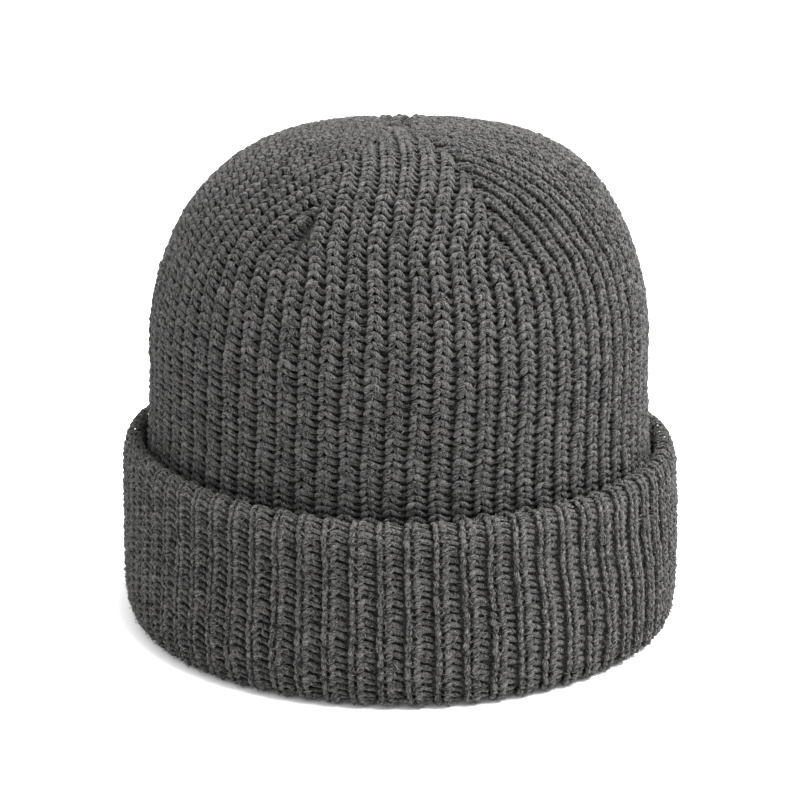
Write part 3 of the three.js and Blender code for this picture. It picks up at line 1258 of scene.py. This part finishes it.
@dataclass
class Crown:
    """The hat's body: four gores of stitches over a hollow backing with a ribbed lining side."""

    form: CrownForm = field(default_factory=CrownForm)
    knit: Knit = CROWN_KNIT
    first_height: float = 44.0
    last_radius: float = 3.0
    overlap: float = 0.25
    relief: float = 0.8
    groove: float = 0.2
    smoothing: float = 0.15
    smooth_radii: Span = (66.0, 34.0)
    backing_lift: float = -3.1
    backing_rows: int = 40
    backing_columns: int = 2
    # Painted shadow along the darts: there the backing counts as lying deeper by up to this many
    # millimetres, which paints it black
    dart_painted_shadow: float = 2.5
    dart_painted_shadow_fall: float = 0.3
    wall: float = 4.5
    lining_relief: float = 0.45
    # Painted shade on the lining: how deep it counts as lying, so that it is painted a little
    # darker, and more where its ribs stand in
    lining_painted_shade_depth: float = 1.0
    lining_rows: int = 52
    lining_columns: int = 6

    def gore(self, gore: Gore, random: np.random.Generator) -> ClothMesh:
        """Knits one gore, rib by rib."""
        form, section = self.form, self.form.section
        mesh = ClothMesh(f"crown_{gore.name.lower()}_knit")
        outermost = (gore.ribs - 1) / 2
        ribs = np.arange(-outermost, outermost + 1)
        first = math.ceil(section.course_at_height(self.first_height))
        last = float(np.interp(-self.last_radius, -section.radius, section.course))
        courses = np.arange(first, form.climb.shape[1] // form.climb_steps, dtype=float)
        rib, course, shade = self.knit.set_out(ribs, courses, random)
        level = form.level(rib, course)
        full = 1 - self.smoothing * ease(section.at(level).radius, *self.smooth_radii)
        stitches = Stitches(rib, course, shade, self.relief * full, self.groove * full)
        inside = form.room(gore, rib, course) > -self.overlap
        cloth = Cloth(self.knit.gauge, partial(form.place, gore), partial(form.slit, gore))
        self.knit.lay(mesh, cloth, stitches.where(inside & (level < last)), random)
        return mesh

    def backing(self) -> ClothMesh:
        """The wall behind the stitches, with the lining side's ribs, painted dark as shade by its
        depths and black as shadow along the darts.
        """
        section = self.form.section
        mesh = ClothMesh("crown_wall")
        last = float(section.course[-1])
        azimuth = self._round(self.backing_columns)
        rows = np.linspace(0.0, last, self.backing_rows)[:, None]
        dart = self.form.from_dart(azimuth, section.at(rows).radius)
        # Painted shade behind the stitches, and painted black shadow along the darts
        depth = self.dart_painted_shadow * dart**self.dart_painted_shadow_fall - self.backing_lift
        outer = self.form.plain(azimuth, rows, self.backing_lift)
        mesh.add_sheet(outer, self._coordinates(azimuth, rows), depth)
        azimuth = self._round(self.lining_columns)
        rows = np.linspace(last, 0.0, self.lining_rows)[:, None]
        ribs = self.form.rib_at(azimuth, section.at(rows).radius)
        relief = self.lining_relief * np.cos(math.tau * ribs)
        inner = self.form.plain(azimuth, rows, relief - self.wall)
        # Painted shade: the lining counts as deeper where its ribs stand in, and is painted darker
        # there
        mesh.add_sheet(inner, self._coordinates(azimuth, rows), self.lining_painted_shade_depth - relief)
        return mesh

    @staticmethod
    def _round(columns: int) -> Values:
        """Azimuths all round the hat, so many to a rib."""
        return (np.arange(RIB_COUNT * columns) * math.tau / (RIB_COUNT * columns))[None]

    def _coordinates(self, azimuth: Values, courses: Values) -> Values:
        """Pattern coordinates of the wall, as if its yarn ran round the hat."""
        ribs = self.form.rib_at(azimuth, self.form.section.at(courses).radius)
        return flat_places(ribs, courses, self.knit.gauge)

    def build(self, material: bpy.types.Material, random: np.random.Generator) -> None:
        """Makes the crown's pieces in place of its CAD solid."""
        meshes = [self.backing(), *(self.gore(gore, random) for gore in Gore)]
        for mesh in meshes:
            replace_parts(mesh.build(material, "crown_knit"), "crown")


@dataclass
class Cuff:
    """The turned-up band: its stitches run round the bottom fold and over the rim."""

    form: CuffForm = field(default_factory=CuffForm)
    knit: Knit = CUFF_KNIT
    first_course: float = 0.5
    relief: float = 0.85
    groove: float = 0.1
    rim_groove: float = 0.2
    rim_smoothing: float = 0.38
    rim_heights: Span = (47.0, 55.0)
    backing_lift: float = -3.0
    backing_rows: int = 48
    backing_columns: int = 2

    def half(self, name: str, first_rib: int, random: np.random.Generator) -> ClothMesh:
        """Knits the half of the cuff that starts at a rib."""
        section = self.form.section
        mesh = ClothMesh(name)
        ribs = first_rib + np.arange(RIB_COUNT // 2)
        courses = np.arange(self.first_course, section.course[-1], 1.0)
        rib, course, shade = self.knit.set_out(ribs, courses, random)
        rim = ease(section.at(course).height, *self.rim_heights)
        relief = self.relief - self.rim_smoothing * rim
        deep = self.groove + (self.rim_groove - self.groove) * rim
        cloth = Cloth(self.knit.gauge, self.form.place)
        self.knit.lay(mesh, cloth, Stitches(rib, course, shade, relief, deep), random)
        return mesh

    def backing(self) -> ClothMesh:
        """The band behind the stitches, painted dark as shade by its depth."""
        mesh = ClothMesh("cuff_band")
        ribs = np.arange(RIB_COUNT * self.backing_columns)[None] / self.backing_columns
        last = float(self.form.section.course[-1])
        rows = np.linspace(0.0, last, self.backing_rows)[:, None]
        places = self.form.place(ribs, rows, self.backing_lift)
        # Painted shade: the band counts as lying deep, which paints it dark behind the stitches
        mesh.add_sheet(places, flat_places(ribs, rows, self.knit.gauge), -self.backing_lift)
        return mesh

    def build(self, material: bpy.types.Material, random: np.random.Generator) -> None:
        """Makes the cuff's pieces in place of its CAD solid."""
        quarter = RIB_COUNT // 4
        front = self.half("cuff_front_knit", -quarter, random)
        back = self.half("cuff_back_knit", quarter, random)
        for mesh in (self.backing(), front, back):
            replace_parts(mesh.build(material, "cuff_knit"), "cuff")


@dataclass(frozen=True)
class Studio:
    """Plain pale floor, soft light from above and to the right, and the photograph's camera."""

    floor_size: float = 16.0
    floor_albedo: float = 0.87
    floor_roughness: float = 0.9
    sky_strength: float = 1.8
    key_place: Place = (0.82, -0.2, 1.87)
    key_aim: Place = (0.0, 0.0, 0.08)
    key_size: float = 1.8
    key_power: float = 185.0
    camera_place: Place = (0.0, -0.680, 0.25067)
    camera_pitch: float = 14.8433
    lens: float = 93.54
    sensor_width: float = 36.0

    def floor(self) -> None:
        """Lays the floor and its matt white finish."""
        half = self.floor_size / 2
        mesh = bpy.data.meshes.new("floor")
        corners = [(-half, -half, 0), (half, -half, 0), (half, half, 0), (-half, half, 0)]
        mesh.from_pydata(corners, [], [(0, 1, 2, 3)])
        material = bpy.data.materials.new("pale floor")
        material.use_nodes = True
        surface = material.node_tree.nodes["Principled BSDF"]
        surface.inputs["Base Color"].default_value = (*[self.floor_albedo] * 3, 1.0)
        surface.inputs["Roughness"].default_value = self.floor_roughness
        surface.inputs["Specular IOR Level"].default_value = 0.0
        mesh.materials.append(material)
        floor = place_object("floor", mesh)

    def light(self) -> None:
        """Sets the even white surroundings and the large lamp above and to the right."""
        world = bpy.data.worlds.new("studio")
        world.use_nodes = True
        sky = world.node_tree.nodes["Background"]
        sky.inputs["Color"].default_value = (1.0, 1.0, 1.0, 1.0)
        sky.inputs["Strength"].default_value = self.sky_strength
        bpy.context.scene.world = world
        lamp = bpy.data.lights.new("key", "AREA")
        lamp.shape = "DISK"
        lamp.size = self.key_size
        lamp.energy = self.key_power
        key = place_object("key", lamp)
        key.location = self.key_place
        aim = Vector(self.key_aim) - Vector(self.key_place)
        key.rotation_euler = aim.to_track_quat("-Z", "Y").to_euler()

    def camera(self) -> None:
        """Sets up the camera where the photograph's stood."""
        data = bpy.data.cameras.new("camera")
        data.lens = self.lens
        data.sensor_width = self.sensor_width
        camera = place_object("camera", data)
        camera.location = self.camera_place
        camera.rotation_euler = (math.radians(90 - self.camera_pitch), 0.0, 0.0)
        bpy.context.scene.camera = camera

    def build(self) -> None:
        """Sets up the floor, the light and the camera."""
        self.floor()
        self.light()
        self.camera()
        bpy.context.scene.view_settings.view_transform = "Standard"


def main() -> None:
    """Builds the hat and its studio."""
    logging.basicConfig(level=logging.INFO, format="%(name)s: %(message)s")
    random = np.random.default_rng(SEED)
    melange = Melange().group()
    Crown().build(CROWN_YARN.material(melange), random)
    Cuff().build(CUFF_YARN.material(melange), random)
    Studio().build()


if __name__ == "__main__":
    main()
